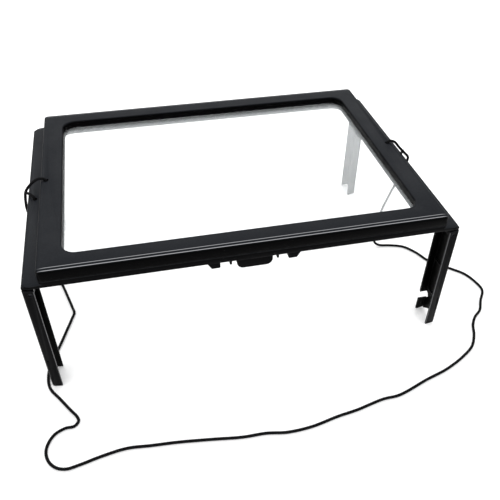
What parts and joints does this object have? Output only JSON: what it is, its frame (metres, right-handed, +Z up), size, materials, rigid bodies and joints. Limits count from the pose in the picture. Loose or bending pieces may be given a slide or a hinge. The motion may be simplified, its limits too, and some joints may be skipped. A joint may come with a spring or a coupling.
{
  "type": "page magnifier",
  "caption": "Hands-free full-page Fresnel magnifier: framed flat lens standing on four fold-in legs, with lamps, a battery drawer and a neck cord.",
  "frame": {"origin": "on the table under the middle of the frame", "axes": "+X along the frame's long side, +Y away from the reader, +Z up"},
  "size_m": [0.3695, 0.2909, 0.1133],
  "materials": {
    "black_frame": "satin moulded ABS",
    "black_leg": "satin moulded ABS, a little darker",
    "clear_sheet": "clear acrylic with fine concentric grooves",
    "black_screw": "black oxide",
    "nickel": "nickel plated",
    "circuit_board": "green solder mask",
    "switch_case": "stamped sheet",
    "led_resin": "clear epoxy",
    "cord": "fine braided cord"
  },
  "bodies": {
    "frame": {"top_bezel": "black_frame", "fresnel_lens": "clear_sheet", "bottom_shell": "black_frame", "shell_screw_1": "black_screw", "shell_screw_2": "black_screw", "shell_screw_3": "black_screw", "shell_screw_4": "black_screw", "shell_screw_5": "black_screw", "shell_screw_6": "black_screw", "shell_screw_7": "black_screw", "shell_screw_8": "black_screw", "hinge_pin_front_left": "black_screw", "hinge_pin_back_left": "black_screw", "hinge_pin_front_right": "black_screw", "hinge_pin_back_right": "black_screw", "battery_housing": "black_frame", "contact_negative": "nickel", "contact_positive": "nickel", "circuit_board": "circuit_board", "resistor_1": "black_leg", "resistor_2": "black_leg", "switch_case": "switch_case", "lamp_hood_left": "black_frame", "lamp_hood_right": "black_frame", "led_1": "led_resin", "led_2": "led_resin", "led_3": "led_resin", "led_4": "led_resin", "neck_cord": "cord", "cord_tie_left": "cord", "cord_tail_left": "cord", "cord_knot_left": "cord", "cord_tie_right": "cord", "cord_tail_right": "cord", "cord_knot_right": "cord"},
    "leg_front_left": {"leg_front_left": "black_leg"},
    "leg_back_left": {"leg_back_left": "black_leg"},
    "leg_front_right": {"leg_front_right": "black_leg"},
    "leg_back_right": {"leg_back_right": "black_leg"},
    "battery_drawer": {"battery_drawer": "black_frame", "coin_cell_1": "nickel", "coin_cell_2": "nickel"},
    "switch_knob": {"switch_knob": "black_leg"}
  },
  "joints": [
    {"name": "front_left_leg_fold", "type": "hinge", "parent": "frame", "child": "leg_front_left", "pos_m": [-0.1479, -0.0966, 0.0925], "axis": [0, -1, 0], "range_deg": [0, 90]},
    {"name": "back_left_leg_fold", "type": "hinge", "parent": "frame", "child": "leg_back_left", "pos_m": [-0.1479, 0.0966, 0.0925], "axis": [0, -1, 0], "range_deg": [0, 90]},
    {"name": "front_right_leg_fold", "type": "hinge", "parent": "frame", "child": "leg_front_right", "pos_m": [0.1479, -0.0966, 0.0925], "axis": [0, 1, 0], "range_deg": [0, 90]},
    {"name": "back_right_leg_fold", "type": "hinge", "parent": "frame", "child": "leg_back_right", "pos_m": [0.1479, 0.0966, 0.0925], "axis": [0, 1, 0], "range_deg": [0, 90]},
    {"name": "battery_drawer_slide", "type": "slide", "parent": "frame", "child": "battery_drawer", "axis": [0, -1, 0], "range_m": [0, 0.012]},
    {"name": "lamp_switch_slide", "type": "slide", "parent": "frame", "child": "switch_knob", "axis": [1, 0, 0], "range_m": [0, 0.003]}
  ]
}
